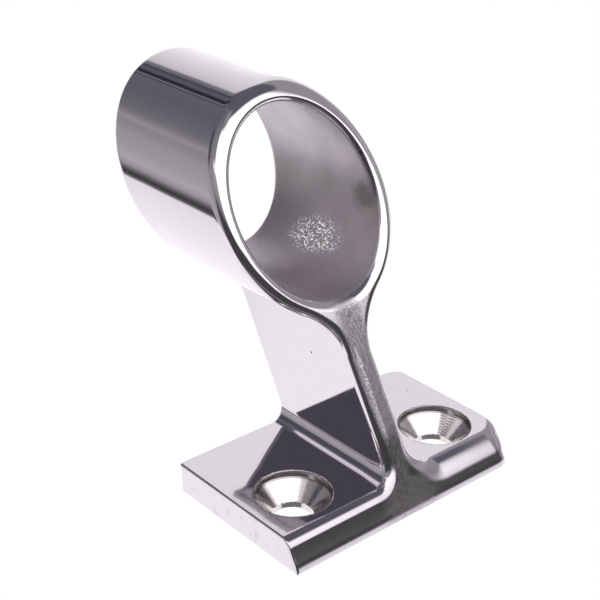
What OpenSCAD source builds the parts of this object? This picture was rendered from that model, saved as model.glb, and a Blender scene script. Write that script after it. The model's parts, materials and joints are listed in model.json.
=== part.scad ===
// Stanchion base: a raked through-ring for a 25 mm handrail on a flat foot with two countersunk screw holes.
// One polished stainless casting, described as three regions that meet on flat cuts across the plain web.
//
// Frame: origin midway between the two screw holes, on the underside. +X runs along the foot, +Y runs along
// the rail, the way the casting leans, and +Z is up. Millimetres and degrees.

/* [Rail ring] */
// Diameter of the bore that the rail tube passes through
bore_d = 25.8; // [24.8:0.1:26.6]
// Wall of the ring round the bore
ring_wall = 2.65; // [2.2:0.05:3.2]
// Height of the rail's axis above the underside
rail_h = 42.1; // [40:0.1:46]
// Lean of the ring's back end, from upright
ring_back_rake = 28.7; // [27:0.1:31]
// Where the plane of the ring's back end would reach the underside, along Y
ring_back_y = 16.4; // [15.5:0.1:17]

/* [Web] */
// Thickness of the web between foot and ring
web_t = 4.6; // [3.6:0.1:5.6]
// Lean of the front of ring, web and foot, from upright
front_rake = 31.5; // [28:0.5:33]
// Where the front plane would reach the underside, along Y
front_y = -11.45; // [-12:0.05:-11.1]
// Radius of the web's front edges
nose_r = 1.2; // [0.5:0.1:2.2]
// Radius of the web's back edges
tail_r = 1.2; // [0.4:0.1:2]
// Radius of the fillet between web and ring
neck_r = 3; // [1:0.1:5]

/* [Foot] */
// Length of the foot, along X
foot_l = 45.8; // [44:0.1:50]
// Thickness of the foot
foot_t = 4.7; // [4.2:0.1:5.5]
// From the screw line to the front of the foot
foot_front = 10.5; // [10.2:0.1:10.8]
// From the screw line to the back of the foot
foot_back = 16.7; // [16.7:0.1:18]
// Radius between the front shoulder and the top of the foot
shoulder_r = 2.6; // [1:0.1:2.8]
// Radius of the fillet between web and foot
root_r = 2.4; // [1.5:0.1:3]
// Radius of the foot's back right corner, seen from above
corner_r_back_right = 3; // [0.5:0.1:4]
// Radius of the foot's other corners, seen from above
corner_r = 0.8; // [0.4:0.1:2]

/* [Screw holes] */
// Distance between the two screw holes
hole_span = 29.4; // [27:0.1:31]
// Diameter of the through holes
hole_d = 6.2; // [5.2:0.1:6.6]
// Diameter of the countersinks at the top
sink_d = 11.6; // [10:0.1:12]
// Depth of the straight land above each cone
sink_land = 1; // [0.4:0.1:1.2]
// Full angle of the cones
sink_angle = 90; // [90:1:100]

/* [Hidden] */

$fn = 96;
eps = 0.01;
polished = [0.80, 0.79, 0.81];

ring_r = bore_d / 2 + ring_wall;
top_z = rail_h + ring_r;
reach = 2 * top_z;                         // longer than the casting in any direction
root_z = foot_t + root_r;                  // flat cut between foot and web
band_h = (-foot_front - front_y) / tan(front_rake);  // upright band below the raked front shoulder
neck_z = rail_h - sqrt(pow(ring_r + neck_r, 2) - pow(web_t / 2 + neck_r, 2));  // flat cut between web and ring
neck_back_y = ring_back_y + neck_z * tan(ring_back_rake);  // back of the neck at that cut
web_back_rake = atan((neck_back_y - foot_back) / (neck_z - foot_t));
web_back_y = foot_back - foot_t * tan(web_back_rake);
shoulder_z = foot_t - shoulder_r;          // centre of the arc over the front shoulder
shoulder_y = -foot_front
    + (shoulder_r + (shoulder_z - band_h) * sin(front_rake)) / cos(front_rake);
sink_cone_h = (sink_d - hole_d) / 2 / tan(sink_angle / 2);

// Everything behind a plane that leans back by rake and meets the underside at y
module behind(rake, y) {
    translate([0, y, 0])
        rotate([-rake, 0, 0])
            translate([-reach / 2, 0, -reach])
                cube([reach, reach, 3 * reach]);
}

// Everything in front of such a plane
module in_front(rake, y) {
    translate([0, y, 0])
        rotate([-rake, 0, 0])
            translate([-reach / 2, -reach, -reach])
                cube([reach, reach, 3 * reach]);
}

// A flat outline in X and Z, drawn out along the rail over the whole casting
module along_rail() {
    translate([0, reach, 0])
        rotate([90, 0, 0])
            linear_extrude(2 * reach)
                children();
}

// A flat outline in Y and Z, drawn out along the foot
module along_foot() {
    translate([-foot_l / 2, 0, 0])
        rotate([90, 0, 90])
            linear_extrude(foot_l)
                children();
}

// The neck's outline across the rail: the web's top end with a fillet to the ring on both sides
module neck_outline() {
    half = web_t / 2 + neck_r;
    difference() {
        polygon([[-half, neck_z], [half, neck_z], [0, rail_h]]);
        for (side = [-1, 1])
            translate([side * half, neck_z])
                circle(neck_r);
    }
}

// The web's outline across the rail with the fillets to the foot
module root_outline() {
    half = web_t / 2 + root_r;
    difference() {
        translate([-half, foot_t - shoulder_r / 2])
            square([2 * half, root_r + shoulder_r / 2]);
        for (side = [-1, 1])
            translate([side * half, root_z])
                circle(root_r);
    }
}

// The waste outside a rounded edge of the web that leans back by rake and meets the underside at y
module edge_waste(rake, y, r, facing) {
    translate([0, y, 0])
        rotate([-rake, 0, 0])
            translate([0, 0, -reach / 2])
                linear_extrude(2 * reach)
                    for (side = [0, 1])
                        mirror([side, 0])
                            mirror([0, facing])
                                difference() {
                                    translate([web_t / 2 - r, -1])
                                        square([r + 1, r + 1]);
                                    translate([web_t / 2 - r, r])
                                        circle(r);
                                }
}

// The ring round the bore, with its neck, cut off along the raked front and back
module rail_ring() {
    color(polished)
        intersection() {
            along_rail()
                difference() {
                    union() {
                        translate([0, rail_h])
                            circle(ring_r);
                        neck_outline();
                    }
                    translate([0, rail_h])
                        circle(d = bore_d);
                }
            behind(front_rake, front_y);
            in_front(ring_back_rake, ring_back_y);
        }
}

// The plain web, with rounded front and back edges
module web() {
    color(polished)
        difference() {
            intersection() {
                translate([-web_t / 2, -reach / 2, root_z])
                    cube([web_t, 1.5 * reach, neck_z - root_z]);
                behind(front_rake, front_y);
                in_front(web_back_rake, web_back_y);
            }
            edge_waste(front_rake, front_y, nose_r, 0);
            edge_waste(web_back_rake, web_back_y, tail_r, 1);
        }
}

// The waste outside a rounded corner of the foot, seen from above
module corner_waste(x, y, r) {
    translate([x, y])
        mirror([x > 0 ? 1 : 0, 0])
            mirror([0, y > 0 ? 1 : 0])
                difference() {
                    translate([-eps, -eps])
                        square(r + eps);
                    translate([r, r])
                        circle(r);
                }
}

// The foot's outline from above
module foot_outline() {
    difference() {
        translate([-foot_l / 2, -foot_front])
            square([foot_l, foot_front + foot_back]);
        corner_waste(-foot_l / 2, -foot_front, corner_r);
        corner_waste(foot_l / 2, -foot_front, corner_r);
        corner_waste(-foot_l / 2, foot_back, corner_r);
        corner_waste(foot_l / 2, foot_back, corner_r_back_right);
    }
}

// The foot's outline from the side: upright band, raked shoulder, rounded top edge
module foot_side() {
    plane_y = -foot_front + (foot_t - band_h) * tan(front_rake);
    polygon([
        [-foot_front, 0],
        [foot_back, 0],
        [foot_back, foot_t],
        [shoulder_y, foot_t],
        [shoulder_y, shoulder_z],
        [shoulder_y - shoulder_r * cos(front_rake), shoulder_z + shoulder_r * sin(front_rake)],
        [-foot_front, band_h]
    ]);
    intersection() {
        translate([shoulder_y, shoulder_z])
            circle(shoulder_r);
        polygon([
            [shoulder_y + eps, 0],
            [shoulder_y + eps, foot_t],
            [plane_y, foot_t],
            [-foot_front, band_h],
            [-foot_front, 0]
        ]);
    }
}

// A through hole with its countersink and land, cut from above
module screw_hole() {
    translate([0, 0, -eps])
        cylinder(h = foot_t + 1, d = hole_d);
    translate([0, 0, foot_t - sink_land - sink_cone_h])
        cylinder(h = sink_cone_h, d1 = hole_d, d2 = sink_d);
    translate([0, 0, foot_t - sink_land])
        cylinder(h = sink_land + 1, d = sink_d);
}

// The foot with its screw holes and the fillets at the root of the web
module foot() {
    color(polished)
        difference() {
            union() {
                intersection() {
                    linear_extrude(foot_t)
                        foot_outline();
                    along_foot()
                        foot_side();
                }
                intersection() {
                    along_rail()
                        root_outline();
                    behind(front_rake, front_y);
                    in_front(web_back_rake, web_back_y);
                }
            }
            for (side = [-1, 1])
                translate([side * hole_span / 2, 0, 0])
                    screw_hole();
        }
}

rail_ring();
web();
foot();
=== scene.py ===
"""Stanchion base: a polished cast rail ring, web and foot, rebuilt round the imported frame.

The casting is one rounded solid, written as a field in millimetres that is negative inside the metal. It is
cut on the CAD model's own two flat planes, and each of the three pieces is meshed from the field.
"""
import json
import math

import bpy
import numpy as np
from mathutils import Matrix, Vector


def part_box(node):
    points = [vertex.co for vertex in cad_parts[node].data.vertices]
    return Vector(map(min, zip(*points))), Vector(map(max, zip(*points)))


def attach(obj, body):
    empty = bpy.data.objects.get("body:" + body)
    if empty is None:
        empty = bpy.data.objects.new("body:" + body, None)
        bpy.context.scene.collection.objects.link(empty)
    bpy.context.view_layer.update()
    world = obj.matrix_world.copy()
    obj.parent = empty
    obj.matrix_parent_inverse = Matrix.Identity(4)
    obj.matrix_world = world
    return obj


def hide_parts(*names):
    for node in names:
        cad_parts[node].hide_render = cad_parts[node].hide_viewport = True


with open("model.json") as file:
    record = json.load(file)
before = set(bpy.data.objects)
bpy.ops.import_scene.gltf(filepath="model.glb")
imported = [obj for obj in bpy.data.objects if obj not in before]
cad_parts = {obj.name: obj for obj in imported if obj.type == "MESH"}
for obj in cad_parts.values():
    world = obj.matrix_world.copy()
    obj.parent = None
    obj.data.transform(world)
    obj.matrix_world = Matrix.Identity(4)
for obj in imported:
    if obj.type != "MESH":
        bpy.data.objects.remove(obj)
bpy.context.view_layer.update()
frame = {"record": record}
MM = 0.001


def mm(metres):
    """A length from the frame, in mm to the nearest hundredth."""
    return round(metres / MM, 2)


# ------------------------------------------------------------------ driving dimensions, mm
mounts = {mount["name"]: mount for mount in frame["record"]["mounts"]}
foot_lo, foot_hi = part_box("foot")

BORE_R = mounts["rail_bore"]["dims"]["r_mm"]
RAIL_H = mm(mounts["rail_bore"]["pos_m"][2])
RING_R = BORE_R + 2.65
WEB_T = 4.6
FOOT_L = mm(foot_hi[0] - foot_lo[0])
FOOT_T = 4.7
FOOT_FRONT = mm(foot_lo[1])
FOOT_BACK = 16.7
HOLE_X = mounts["screw_holes"]["dims"]["spacing_x_mm"] / 2
HOLE_R = mounts["screw_holes"]["dims"]["hole_r_mm"]
SINK_R = 5.8
LAND = 1.0                                   # straight wall above each countersink's cone
CONE_Z = FOOT_T - LAND - (SINK_R - HOLE_R)   # where the 90 degree cone starts

# planes that lean back: the lean from upright, and where each would reach the underside
FRONT_RAKE = math.radians(31.5)
FRONT_Y = -11.95
WEB_BACK_RAKE = math.radians(30.3)
WEB_BACK_Y = 14.0
RING_BACK_RAKE = math.radians(29.2)
RING_BACK_Y = 16.8

# the flat cuts between the pieces
ROOT_Z = mm(foot_hi[2])
NECK_Z = mm(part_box("web")[1][2])

# how the hand-ground casting departs from plain planes and cylinders
FRONT_SAG = 0.9      # the front stands this much further back near the foot
RING_SWELL = 0.5     # the ring is this much thicker near its mouth, on the right
WEB_SWELL = 0.12     # and the web is, at its front on the right
NECK_R = 0.8         # fillet between web and ring
NECK_FLARE = 4.4     # how much wider that fillet is at the front
ROOT_R = 2.3         # fillet between web and foot
BAND_EDGE = 0.4      # edge between the raked front and the foot's upright band
END_R = 4.2          # corner at the band's right end
END_RUN = 3.5        # that end is straight for this far behind the band,
END_SLOPE = 0.4      # and then slopes out of the foot
TAIL_R = 1.0         # hollow between the web's back and the foot's
BASE_EDGE = 0.3      # edges of the foot's ends and underside
HOLE_EDGE = 0.12     # edges of the screw holes


# ------------------------------------------------------------------ the casting as one field
def smooth(lo, hi, v):
    """0 below lo, 1 above hi, smooth between."""
    t = np.clip((v - lo) / (hi - lo), 0, 1)
    return t * t * (3 - 2 * t)


def round_union(a, b, r):
    """Both solids together, with a fillet of radius r where they meet."""
    return np.maximum(r, np.minimum(a, b)) - np.hypot(np.maximum(r - a, 0), np.maximum(r - b, 0))


def round_cut(a, b, r):
    """What both solids share, with an edge of radius r where they meet."""
    return np.minimum(-r, np.maximum(a, b)) + np.hypot(np.maximum(r + a, 0), np.maximum(r + b, 0))


def behind_plane(y, z, rake, foot_y):
    """How far behind a plane that leans back and would reach the underside at foot_y."""
    return (y - foot_y) * np.cos(rake) - z * np.sin(rake)


def outline(x, z, depth, right):
    """Ring, web and foot as seen along the rail, with fillets that widen towards the front."""
    near = 1 - smooth(0.5, 5.0, depth)
    ring = np.hypot(x, z - RAIL_H) - RING_R - RING_SWELL * right * (1 - smooth(0.5, 9.0, depth))
    web = np.maximum(np.abs(x) - WEB_T / 2 - WEB_SWELL * right * near, z - RAIL_H)
    upper = round_union(ring, web, NECK_R + NECK_FLARE * near)
    root_r = ROOT_R + (0.4 + 2.8 * right) * near
    return round_union(upper, z - FOOT_T, root_r)


def front_face(x, y, front):
    """The raked front, the foot's upright band and the band's rounded right end."""
    band = FOOT_FRONT - y
    right_end = x - FOOT_L / 2 - END_SLOPE * np.maximum(y - FOOT_FRONT - END_RUN, 0)
    return round_cut(round_cut(front, band, BAND_EDGE), right_end, END_R)


def lip_radius(z, right):
    """Radius of the rolled front edges, from the foot up the web to the ring."""
    foot = 1.1 + 1.4 * right
    web = 1.8 - 0.4 * right
    ring = 1.7 + 0.7 * right
    return foot + (web - foot) * smooth(3, 8, z) + (ring - web) * smooth(22, 30, z)


def back_face(x, y, z):
    """The backs of ring, web and foot, and the foot's ends, with the back right corner the rounder."""
    web = behind_plane(y, z, WEB_BACK_RAKE, WEB_BACK_Y)
    ring = behind_plane(y, z, RING_BACK_RAKE, RING_BACK_Y)
    up = smooth(23.0, 28.0, z)
    back = round_union(web * (1 - up) + ring * up, y - FOOT_BACK, TAIL_R)
    corner_r = 0.8 + 2.2 * smooth(-1, 1, x)
    return round_cut(back, np.abs(x) - FOOT_L / 2, corner_r)


def screw_holes(x, y, z):
    """Both through holes with their countersinks."""
    rho = np.hypot(np.abs(x) - HOLE_X, y)
    cone = (rho - HOLE_R - (z - CONE_Z)) / math.sqrt(2)
    return np.minimum(rho - HOLE_R, np.maximum(cone, rho - SINK_R))


def casting(x, y, z):
    """The whole casting. Its right side, where x is positive, is the more heavily ground one."""
    right = smooth(-3.0, 6.0, x)
    depth = behind_plane(y, z, FRONT_RAKE, FRONT_Y + FRONT_SAG * (1 - smooth(2, 12, z)))
    solid = round_cut(outline(x, z, depth, right), front_face(x, y, -depth), lip_radius(z, right))
    tail_edge = 0.3 + 0.6 * smooth(5, 8, z) + 0.3 * smooth(28, 34, z)
    solid = round_cut(solid, back_face(x, y, z), tail_edge)
    solid = round_cut(solid, np.abs(x) - FOOT_L / 2, BASE_EDGE)
    solid = round_cut(solid, -z, BASE_EDGE)
    bore_edge = 1.15 + 0.65 * smooth(5, 15, depth)
    solid = round_cut(solid, BORE_R - np.hypot(x, z - RAIL_H), bore_edge)
    return round_cut(solid, -screw_holes(x, y, z), HOLE_EDGE)


# ------------------------------------------------------------------ dual contouring
def gradient(f, points, step=0.002):
    """The unit direction in which f rises fastest at each point."""
    g = np.empty_like(points)
    for axis in range(3):
        ahead = points.copy()
        behind = points.copy()
        ahead[:, axis] += step
        behind[:, axis] -= step
        g[:, axis] = f(*ahead.T) - f(*behind.T)
    return g / np.maximum(np.linalg.norm(g, axis=1, keepdims=True), 1e-12)


def bisect(f, a, b, a_inside, rounds=9):
    """The points between a and b where f changes sign."""
    for _ in range(rounds):
        middle = 0.5 * (a + b)
        same = (f(*middle.T) < 0) == a_inside
        a[same] = middle[same]
        b[~same] = middle[~same]
    return 0.5 * (a + b)


def crossings(f, grid, inside, axis):
    """Where the surface crosses the grid's edges along one axis.

    Returns the points, the numbers of the four cells round each edge, and whether each edge starts inside.
    """
    u = (axis + 1) % 3
    v = (axis + 2) % 3
    cells = [size - 1 for size in inside.shape]
    first = [slice(None)] * 3
    second = [slice(None)] * 3
    first[axis] = slice(0, -1)
    second[axis] = slice(1, None)
    start = np.argwhere(inside[tuple(first)] != inside[tuple(second)])
    has_cells = (start[:, u] > 0) & (start[:, u] < cells[u]) & (start[:, v] > 0) & (start[:, v] < cells[v])
    start = start[has_cells]
    end = start.copy()
    end[:, axis] += 1
    starts_inside = inside[tuple(start.T)]
    points = bisect(f, grid[tuple(start.T)], grid[tuple(end.T)], starts_inside)
    unit = np.eye(3, dtype=int)
    around = []
    for back_u, back_v in ((1, 1), (0, 1), (0, 0), (1, 0)):
        i, j, k = (start - back_u * unit[u] - back_v * unit[v]).T
        around.append((i * cells[1] + j) * cells[2] + k)
    return points, np.stack(around, 1), starts_inside


def cell_vertices(points, normals, owner, h):
    """One vertex a cell: where the tangent planes at its crossings meet, kept near their middle."""
    count = np.bincount(owner).astype(float)
    middle = np.stack([np.bincount(owner, points[:, i]) for i in range(3)], 1) / count[:, None]
    height = (normals * (points - middle[owner])).sum(1)
    lhs = np.empty((len(count), 3, 3))
    rhs = np.empty((len(count), 3))
    for i in range(3):
        rhs[:, i] = np.bincount(owner, normals[:, i] * height)
        for j in range(3):
            lhs[:, i, j] = np.bincount(owner, normals[:, i] * normals[:, j])
    lhs += 0.05 * np.eye(3)
    shift = np.linalg.solve(lhs, rhs[..., None])[..., 0]
    return middle + np.clip(shift, -0.8 * h, 0.8 * h)


def contour(f, lo, hi, h):
    """Vertices and quads on the surface where f is zero, on cells of size h, with sharp edges kept."""
    axes = [(np.arange(math.floor(a / h), math.ceil(b / h) + 1) + 0.5) * h for a, b in zip(lo, hi)]
    grid = np.stack(np.meshgrid(*axes, indexing="ij"), -1)
    inside = f(grid[..., 0], grid[..., 1], grid[..., 2]) < 0
    points, normals, owners, quads = [], [], [], []
    for axis in range(3):
        found, around, starts_inside = crossings(f, grid, inside, axis)
        points += [found] * 4
        normals += [gradient(f, found)] * 4
        owners.append(around.T.ravel())
        quads.append(np.where(starts_inside[:, None], around, around[:, ::-1]))
    used, owner = np.unique(np.concatenate(owners), return_inverse=True)
    verts = cell_vertices(np.concatenate(points), np.concatenate(normals), owner, h)
    return verts, np.searchsorted(used, np.concatenate(quads))


def corner_normals(verts, quads):
    """The casting's own normal at each vertex, and the flat cuts' on the faces hidden between pieces."""
    out = gradient(casting, verts)[quads]
    z = verts[quads][:, :, 2]
    for cut in (ROOT_Z, NECK_Z):
        flat = (np.abs(z - cut) < 0.01).all(1)
        out[flat] = (0, 0, np.sign(cut - verts[:, 2].mean()))
    return out.reshape(-1, 3)


def casting_piece(name, node, bottom, top, cell, material):
    """The casting between two heights, meshed on cells of the given size, in place of a CAD node."""
    def slab(x, y, z):
        return np.maximum(casting(x, y, z), np.maximum(z - top, bottom - z))

    margin = 3.0
    node_lo, node_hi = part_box(node)
    lo = [mm(v) - margin for v in node_lo]
    hi = [mm(v) + margin for v in node_hi]
    verts, quads = contour(slab, lo, hi, cell)
    mesh = bpy.data.meshes.new(name)
    mesh.from_pydata((verts * MM).tolist(), [], quads.tolist())
    mesh.polygons.foreach_set("use_smooth", np.ones(len(mesh.polygons), dtype=bool))
    mesh.normals_split_custom_set(corner_normals(verts, quads).tolist())
    mesh.update()
    mesh.materials.append(material)
    obj = bpy.data.objects.new(name, mesh)
    bpy.context.scene.collection.objects.link(obj)
    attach(obj, "root")
    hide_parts(node)


# ------------------------------------------------------------------ node helpers
def new_material(name):
    """An empty material, with its nodes and links."""
    m = bpy.data.materials.new(name)
    m.use_nodes = True
    m.node_tree.nodes.clear()
    return m, m.node_tree.nodes, m.node_tree.links


class Value:
    """A number in a node tree, so that sums of nodes read as sums."""

    def __init__(self, tree, socket):
        self.tree = tree
        self.socket = socket

    def math(self, op, *others):
        node = self.tree.nodes.new("ShaderNodeMath")
        node.operation = op
        for slot, v in zip(node.inputs, (self, *others)):
            if isinstance(v, Value):
                self.tree.links.new(v.socket, slot)
            else:
                slot.default_value = v
        return Value(self.tree, node.outputs[0])

    def __add__(self, o):
        return self.math("ADD", o)

    def __sub__(self, o):
        return self.math("SUBTRACT", o)

    def __mul__(self, o):
        return self.math("MULTIPLY", o)

    def __rsub__(self, o):
        return (self * -1.0) + o

    __radd__ = __add__
    __rmul__ = __mul__

    def step(self, lo, hi):
        """0 below lo, 1 above hi, smooth between; falls if lo is above hi."""
        node = self.tree.nodes.new("ShaderNodeMapRange")
        node.interpolation_type = "SMOOTHSTEP"
        self.tree.links.new(self.socket, node.inputs["Value"])
        node.inputs["From Min"].default_value = min(lo, hi)
        node.inputs["From Max"].default_value = max(lo, hi)
        node.inputs["To Min"].default_value = 0.0 if lo < hi else 1.0
        node.inputs["To Max"].default_value = 1.0 if lo < hi else 0.0
        return Value(self.tree, node.outputs[0])

    def band(self, lo, hi, soft):
        """1 from lo to hi, with both ends soft."""
        return self.step(lo - soft, lo + soft) * self.step(hi + soft, hi - soft)

    def mix(self, other, amount):
        """self where amount is 0, other where it is 1."""
        return self + (other - self) * amount

    def ramp(self, stops):
        """Straight lines through (place, value) stops."""
        curve = self.tree.nodes.new("ShaderNodeFloatCurve")
        lo = stops[0][0]
        hi = stops[-1][0]
        top = max(v for _, v in stops)
        line = curve.mapping.curves[0]
        places = [((p - lo) / (hi - lo), v / top) for p, v in stops]
        line.points[0].location = places[0]
        line.points[1].location = places[-1]
        for place in places[1:-1]:
            line.points.new(*place)
        for point in line.points:
            point.handle_type = "VECTOR"
        curve.mapping.update()
        scaled = (self - lo) * (1.0 / (hi - lo))
        self.tree.links.new(scaled.socket, curve.inputs["Value"])
        return Value(self.tree, curve.outputs[0]) * top


def length(*parts):
    """The length of the vector with these parts."""
    total = parts[0] * parts[0]
    for part in parts[1:]:
        total = total + part * part
    return total.math("SQRT")


def xyz(tree, socket, scale=1.0):
    """The three parts of a vector, times scale."""
    node = tree.nodes.new("ShaderNodeSeparateXYZ")
    tree.links.new(socket, node.inputs[0])
    return [Value(tree, node.outputs[i]) * scale for i in range(3)]


def noise(tree, vector, scale, detail=2.0, rough=0.5, stretch=(1, 1, 1), turn=(0, 0, 0)):
    """Noise on object coordinates; scale is in features per millimetre, turn in degrees."""
    turned = tree.nodes.new("ShaderNodeMapping")
    turned.inputs["Rotation"].default_value = tuple(math.radians(a) for a in turn)
    tree.links.new(vector, turned.inputs[0])
    scaled = tree.nodes.new("ShaderNodeMapping")
    scaled.inputs["Scale"].default_value = tuple(scale / MM * k for k in stretch)
    tree.links.new(turned.outputs[0], scaled.inputs[0])
    texture = tree.nodes.new("ShaderNodeTexNoise")
    texture.inputs["Scale"].default_value = 1.0
    texture.inputs["Detail"].default_value = detail
    texture.inputs["Roughness"].default_value = rough
    tree.links.new(scaled.outputs[0], texture.inputs["Vector"])
    return Value(tree, texture.outputs["Fac"])


def bump(tree, height):
    """The normal of a relief given in millimetres."""
    node = tree.nodes.new("ShaderNodeBump")
    node.inputs["Distance"].default_value = MM
    tree.links.new(height.socket, node.inputs["Height"])
    return node.outputs[0]


# ------------------------------------------------------------------ the steel
# small flaws of the casting, mm: x, y, z and radius; they are not cut in, and their dark is painted shade
PITS = [
    (-2.3, 10.4, 19.3, 0.22),    # left face of the web
    (18.9, 10.3, 4.7, 0.16),     # top of the foot, right
    (12.45, 16.4, 46.2, 0.55),   # notch in the edge of the bore
    (-7.0, 9.0, 4.7, 0.1),       # top of the foot, left
]


def scratches(tree, coord, z):
    """Hand-ground scratches: down the web, and two sets across them, one only higher up."""
    down = noise(tree, coord, 1.5, 2.0, 0.5, (5.0, 4.0, 0.5), (28, 12, 0))
    across = noise(tree, coord, 1.5, 2.0, 0.5, (3.5, 0.6, 4.5), (30, -35, 0))
    across_again = noise(tree, coord, 1.5, 2.0, 0.5, (1.2, 5.0, 5.0), (25, 48, 10))
    higher = z.step(8, 18)
    crossing = across.band(0.48, 0.52, 0.02) * higher + across_again.band(0.485, 0.515, 0.015)
    return down.band(0.48, 0.52, 0.02) + crossing


def painted_pit_shade(x, y, z):
    """1 inside the pits, whose dark shade is painted."""
    total = 0.0
    for pit_x, pit_y, pit_z, r in PITS:
        total = total + length(x - pit_x, y - pit_y, z - pit_z).step(r, r * 0.45)
    return total.math("MINIMUM", 1.0)


def cast_steel():
    """Mirror-polished steel with a blasted bore, turned countersinks and a hand-ground front edge."""
    m, nodes, links = new_material("cast_stainless")
    tree = m.node_tree
    out = nodes.new("ShaderNodeOutputMaterial")
    bsdf = nodes.new("ShaderNodeBsdfPrincipled")
    coord = nodes.new("ShaderNodeTexCoord").outputs["Object"]
    x, y, z = xyz(tree, coord, 1 / MM)
    side = x.math("ABSOLUTE")

    # where each finish is
    in_bore = length(x, z - RAIL_H).step(BORE_R + 0.22, BORE_R + 0.06)
    rho = length(side - HOLE_X, y)
    in_sink = rho.step(SINK_R + 0.1, SINK_R)
    on_land = in_sink * rho.step(SINK_R - 0.3, SINK_R - 0.12)
    depth = (y - (FRONT_Y + 0.3)) * math.cos(FRONT_RAKE) - z * math.sin(FRONT_RAKE)
    reach = 1.3 + 3.2 * z.step(5.5, 3.5) + 0.6 * z.step(22, 27)
    past_reach = (side - reach) * (1.0 - 0.65 * z.step(6.5, 3.5))
    on_nose = depth.step(1.3, 0.5) * past_reach.step(1.0, -0.6) * z.step(29.5, 27)
    # the foot's front band: rougher, and painted darker as shade
    satin_and_painted_shade = depth.step(1.5, 0.2) * z.step(8.0, 4.5)

    # polish: long soft waves and a faint haze, with smudges on the foot's left end
    wave = noise(tree, coord, 0.10, 1.0)
    haze = noise(tree, coord, 0.5, 4.0, 0.6)
    orange_peel = noise(tree, coord, 1.4, 1.0)
    on_left_end = x.step(0.3 - FOOT_L / 2, 0.05 - FOOT_L / 2)
    smudge = noise(tree, coord, 0.45, 4.0, 0.6).step(0.56, 0.68) * on_left_end
    scratch = scratches(tree, coord, z)

    # blasted bore: cloudy, grainy and stained, with one coarse patch low on the right whose grains get a
    # painted glint
    cloud = noise(tree, coord, 0.14, 3.0, 0.55)
    grain = noise(tree, coord, 2.2, 3.0, 0.7)
    patch_far = length((x - 7.9) * 0.75, (y - 21.5) * 0.42, (z - 32.0) * 0.5)
    patch = (patch_far + 1.6 * (noise(tree, coord, 0.7, 2.0) - 0.5)).step(2.6, 1.2) * in_bore
    fleck = noise(tree, coord, 3.0, 1.0, 0.5)
    grains_and_painted_glint = patch * fleck.step(0.48, 0.55)
    stain_far = length(x - 12.4, (y - 15.5) * 0.8, z - 39.5)
    stain = (stain_far + 3 * (noise(tree, coord, 0.6, 3.0) - 0.5)).step(2.8, 0.8)

    # turned countersinks: rings of tool marks, uneven round the cone
    rings = (rho * 19.0 + 2.0 * noise(tree, coord, 0.8, 1.0)).math("SINE") * 0.5 + 0.5
    chatter = noise(tree, coord, 1.1, 2.0, 0.6)

    # roughness
    rough = 0.025 + 0.05 * haze
    rough = rough.mix(0.04 + 0.08 * haze, on_nose)
    rough = rough.mix(0.13 + 0.10 * haze, satin_and_painted_shade)
    rough = rough.mix(0.46 + 0.12 * (grain - 0.5) - 0.30 * grains_and_painted_glint, in_bore)
    rough = rough.mix(0.08 + 0.14 * chatter, in_sink)
    links.new(rough.socket, bsdf.inputs["Roughness"])

    # painted glint: the patch's coarse grains are made less metallic and glow with painted emission
    links.new((1.0 - 0.9 * grains_and_painted_glint).socket, bsdf.inputs["Metallic"])
    links.new((0.4 * grains_and_painted_glint * fleck.step(0.50, 0.62)).socket, bsdf.inputs["Emission Strength"])

    # colour: each finish has its own grey, a little uneven, with painted shade on the nose, the foot's
    # front band, the countersinks' upright rims and the pits, and a painted glint in the bore
    # painted shade on the nose: darker all over, and darker still along its scratches
    nose_painted_shade = 0.10 + (0.50 * scratch).math("MINIMUM", 0.55)
    # the patch's grains are painted lighter too, a painted glint
    blasted_grey = 0.62 + 0.30 * (cloud - 0.5) + 0.20 * (grain - 0.5) + 0.38 * grains_and_painted_glint - 0.22 * stain
    grey = 0.825 - 0.02 * haze - 0.13 * smudge
    # painted shade: the foot's front band is painted darker, away from the nose
    grey = grey - nose_painted_shade * on_nose - 0.22 * satin_and_painted_shade * (1.0 - on_nose)
    grey = grey.mix(blasted_grey, in_bore)
    grey = grey.mix(0.80 + 0.25 * (chatter - 0.5), in_sink)
    # painted shade: the upright rim above each countersink is painted dark
    grey = grey.mix(0.40, on_land)
    # painted shade: the pits and the bore's notch are painted nearly black
    grey = grey.mix(0.05, painted_pit_shade(x, y, z))
    polished_tint = (1.0, 0.955, 1.0)
    sunk_tint = (1.03, 0.97, 0.95)
    blasted_tint = (1.0, 0.93, 0.965)
    base = nodes.new("ShaderNodeCombineXYZ")
    for slot, polished, sunk, blasted in zip(base.inputs, polished_tint, sunk_tint, blasted_tint):
        tint = grey * (polished + (sunk - polished) * in_sink + (blasted - polished) * in_bore)
        links.new(tint.socket, slot)
    links.new(base.outputs[0], bsdf.inputs["Base Color"])

    # relief, mm
    relief = 0.030 * wave + 0.0006 * orange_peel
    relief = relief - (0.004 + 0.011 * z.step(9, 20)) * scratch * on_nose
    relief = relief + in_bore * (0.022 * grain + 0.22 * patch * fleck.step(0.50, 0.66))
    relief = relief + in_sink * 0.005 * rings
    links.new(bump(tree, relief), bsdf.inputs["Normal"])
    links.new(bsdf.outputs[0], out.inputs[0])
    return m


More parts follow.
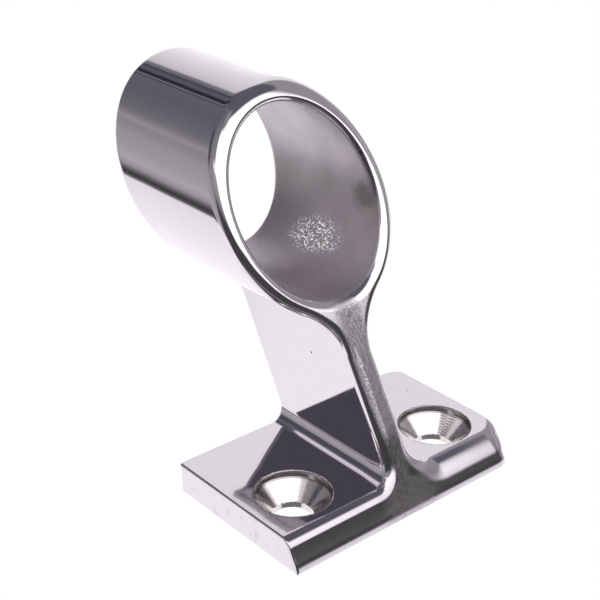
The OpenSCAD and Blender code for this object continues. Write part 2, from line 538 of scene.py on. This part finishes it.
# ------------------------------------------------------------------ camera, floor and surroundings
def camera():
    """The photograph's perspective."""
    azimuth = math.radians(-40.93)
    elevation = math.radians(26.33)
    roll = math.radians(0.55)
    place = Vector((-119.43, -121.89, 115.55)) * MM
    data = bpy.data.cameras.new("camera")
    data.sensor_width = 36
    data.lens = 79.68
    obj = bpy.data.objects.new("camera", data)
    bpy.context.scene.collection.objects.link(obj)
    bpy.context.scene.camera = obj
    level = math.cos(elevation)
    back = Vector((math.sin(azimuth) * level, -math.cos(azimuth) * level, math.sin(elevation)))
    right = Vector((math.cos(azimuth), math.sin(azimuth), 0))
    up = back.cross(right)
    rolled_right = math.cos(roll) * right + math.sin(roll) * up
    rolled_up = -math.sin(roll) * right + math.cos(roll) * up
    turn = Matrix((rolled_right, rolled_up, back)).transposed().to_4x4()
    obj.matrix_world = Matrix.Translation(place) @ turn


def floor():
    """A wide white floor, just below the foot. The surroundings stand for it in the reflections."""
    half = 30.0
    gap = 0.00005
    corners = [(-half, -half, 0), (half, -half, 0), (half, half, 0), (-half, half, 0)]
    mesh = bpy.data.meshes.new("floor")
    mesh.from_pydata(corners, [], [(0, 1, 2, 3)])
    obj = bpy.data.objects.new("floor", mesh)
    bpy.context.scene.collection.objects.link(obj)
    m, nodes, links = new_material("floor_white")
    out = nodes.new("ShaderNodeOutputMaterial")
    glow = nodes.new("ShaderNodeEmission")
    glow.inputs["Strength"].default_value = 1.0
    links.new(glow.outputs[0], out.inputs[0])
    mesh.materials.append(m)
    obj.location.z = -gap
    obj.visible_glossy = False
    obj.visible_diffuse = False


# light along the rail, by the angle across it in degrees: 0 is straight up, 90 is level on the right
ALONG_RAIL = [
    # the floor and its dark edge on the left
    (-180, 0.90), (-150, 0.84), (-121, 0.76), (-118.5, 0.10), (-114, 0.04), (-110, 0.12),
    # the grey wall on the left
    (-105, 0.31), (-98, 0.40), (-88, 0.34), (-70, 0.30), (-62, 0.25), (-57, 0.245), (-54, 0.285),
    (-52, 0.265), (-48, 0.20),
    # the dark ceiling, with thin streaks past its middle
    (-43, 0.155), (-30, 0.125), (-14, 0.11), (0, 0.115), (1.5, 0.10), (2.3, 0.02), (3.2, 0.04),
    (4.3, 0.24), (5.2, 0.03), (9.5, 0.02), (11.5, 0.10), (16.5, 0.09), (17.8, 0.02), (19, 0.09),
    (21, 0.15), (25, 0.17),
    # the pale wall on the right, and the floor
    (26.5, 0.50), (31, 0.56), (45, 0.65), (60, 0.73), (75, 0.81), (90, 0.88), (110, 0.94),
    (140, 0.92), (180, 0.90),
]


def studio_light(x, y, z):
    """How bright the surroundings are in each direction, and that direction's elevation in degrees.

    y runs along the rail and z up. across is the angle round the rail, from straight up, to the right, and
    bearing is the angle round the vertical, from +Y, to the right.
    """
    degrees = 180 / math.pi
    across = x.math("ARCTAN2", z) * degrees
    bearing = x.math("ARCTAN2", y) * degrees
    elevation = z.math("ARCSINE") * degrees
    right_side = x.step(-0.05, 0.05)

    light = across.ramp(ALONG_RAIL)

    # behind the foot the left wall is darker
    light = light.mix(0.07, across.band(-58, -24, 4) * y.band(0.45, 0.68, 0.02))

    # away from the rail's direction on the left the ceiling is a little lighter
    light = light.mix(0.24, x.step(0.1, -0.5) * y.step(0.5, 0.1) * z.step(0.2, 0.5) * 0.8)

    # the room behind the right wall
    room = 0.27 + 0.10 * elevation.band(8, 18, 6) + 0.12 * elevation.band(-30, -4, 4)
    light = light.mix(room, right_side * y.step(0.55, 0.35) * elevation.step(-24, -17))
    light = light.mix(0.10, right_side * elevation.step(46, 51) * y.step(0.62, 0.5))
    light = light.mix(0.73, across.band(36, 100, 4) * y.band(0.45, 0.69, 0.02) * z.step(0.0, 0.1))

    # low on the camera's side: the dark front of the set, paler high on the left
    front_left = bearing.step(-84, -96) * x.step(0.08, -0.02)
    front_right = bearing.step(146, 158) * x.step(-0.08, 0.02)
    front = front_left + front_right
    light = light.mix(0.05 + 0.12 * elevation.band(-40, -24, 8), front * elevation.step(34, 22))
    light = light.mix(0.30, front_left * elevation.band(38, 55, 7))

    # one broad soft light over and behind the camera, with a bright rim at its left end
    left_half = x.step(0.02, -0.02)
    right_half = x.step(-0.02, 0.02)
    edge = (128 - 0.8 * (elevation - 22)).math("MAXIMUM", 105 + 1.2 * (elevation - 50))
    behind = front_left * bearing.step(-100, -112) + right_half * (bearing - edge).step(-3, 17)
    low_edge = 50 - 26 * bearing.step(-112, -160) * left_half - 28.5 * right_half
    soft_light = behind * (elevation - low_edge).step(-2.5, 3.5) * elevation.step(84, 76)
    light = light.mix(1.25, soft_light)
    light = light.mix(0.85, bearing.band(-106, -88, 4) * (elevation - 51).band(-2.5, 3.5, 2))

    # straight above, the ceiling
    light = light.mix(0.25, elevation.step(81, 87))

    # the small dark patch beside the soft light
    light = light.mix(0.05, bearing.band(118, 156, 5) * elevation.band(-24, 19, 2) * 0.95)

    # the floor, white except in front
    falls_behind = (y - 0.4).math("MAXIMUM", 0.0) * -0.6
    floor_line = falls_behind - 0.16 - 0.17 * x.step(0.45, 0.75) * y.step(-0.1, 0.2)
    on_floor = (z - floor_line).step(0.05, -0.05) * (1.0 - front)
    light = light.mix(0.85, on_floor * y.step(0.72, 0.67))
    low_right = x.step(0.0, 0.3) * y.step(0.4, 0.1)
    light = light.mix(1.1, low_right * elevation.band(-32, -8, 5) * bearing.step(118, 106))
    return light, elevation


def studio():
    """The photographer's surroundings, as polished steel shows them. The camera itself sees white paper."""
    world = bpy.data.worlds.new("studio")
    bpy.context.scene.world = world
    world.use_nodes = True
    tree = world.node_tree
    tree.nodes.clear()
    direction = tree.nodes.new("ShaderNodeTexCoord").outputs["Generated"]
    light, elevation = studio_light(*xyz(tree, direction))

    # pale parts are a little pink, and the dark ones high up are blue
    pale_tint = (1.20, 1.17, 1.22)
    dark_tint = (1.16, 1.15, 1.48)
    blue = light.step(0.22, 0.10) * elevation.step(18, 35)
    colour = tree.nodes.new("ShaderNodeCombineXYZ")
    for slot, pale, dark in zip(colour.inputs, pale_tint, dark_tint):
        tint = light * (pale + (dark - pale) * blue)
        tree.links.new(tint.socket, slot)

    surround = tree.nodes.new("ShaderNodeBackground")
    tree.links.new(colour.outputs[0], surround.inputs[0])
    paper = tree.nodes.new("ShaderNodeBackground")
    paper.inputs[0].default_value = (1, 1, 1, 1)
    path = tree.nodes.new("ShaderNodeLightPath")
    seen = tree.nodes.new("ShaderNodeMixShader")
    tree.links.new(path.outputs["Is Camera Ray"], seen.inputs[0])
    tree.links.new(surround.outputs[0], seen.inputs[1])
    tree.links.new(paper.outputs[0], seen.inputs[2])
    out = tree.nodes.new("ShaderNodeOutputWorld")
    tree.links.new(seen.outputs[0], out.inputs[0])


# ------------------------------------------------------------------ build
steel = cast_steel()
casting_piece("ring_casting", "rail_ring", NECK_Z, math.inf, 0.28, steel)
casting_piece("web_casting", "web", ROOT_Z, NECK_Z, 0.2, steel)
casting_piece("foot_casting", "foot", -math.inf, ROOT_Z, 0.2, steel)
camera()
floor()
studio()
bpy.context.scene.view_settings.view_transform = "Standard"
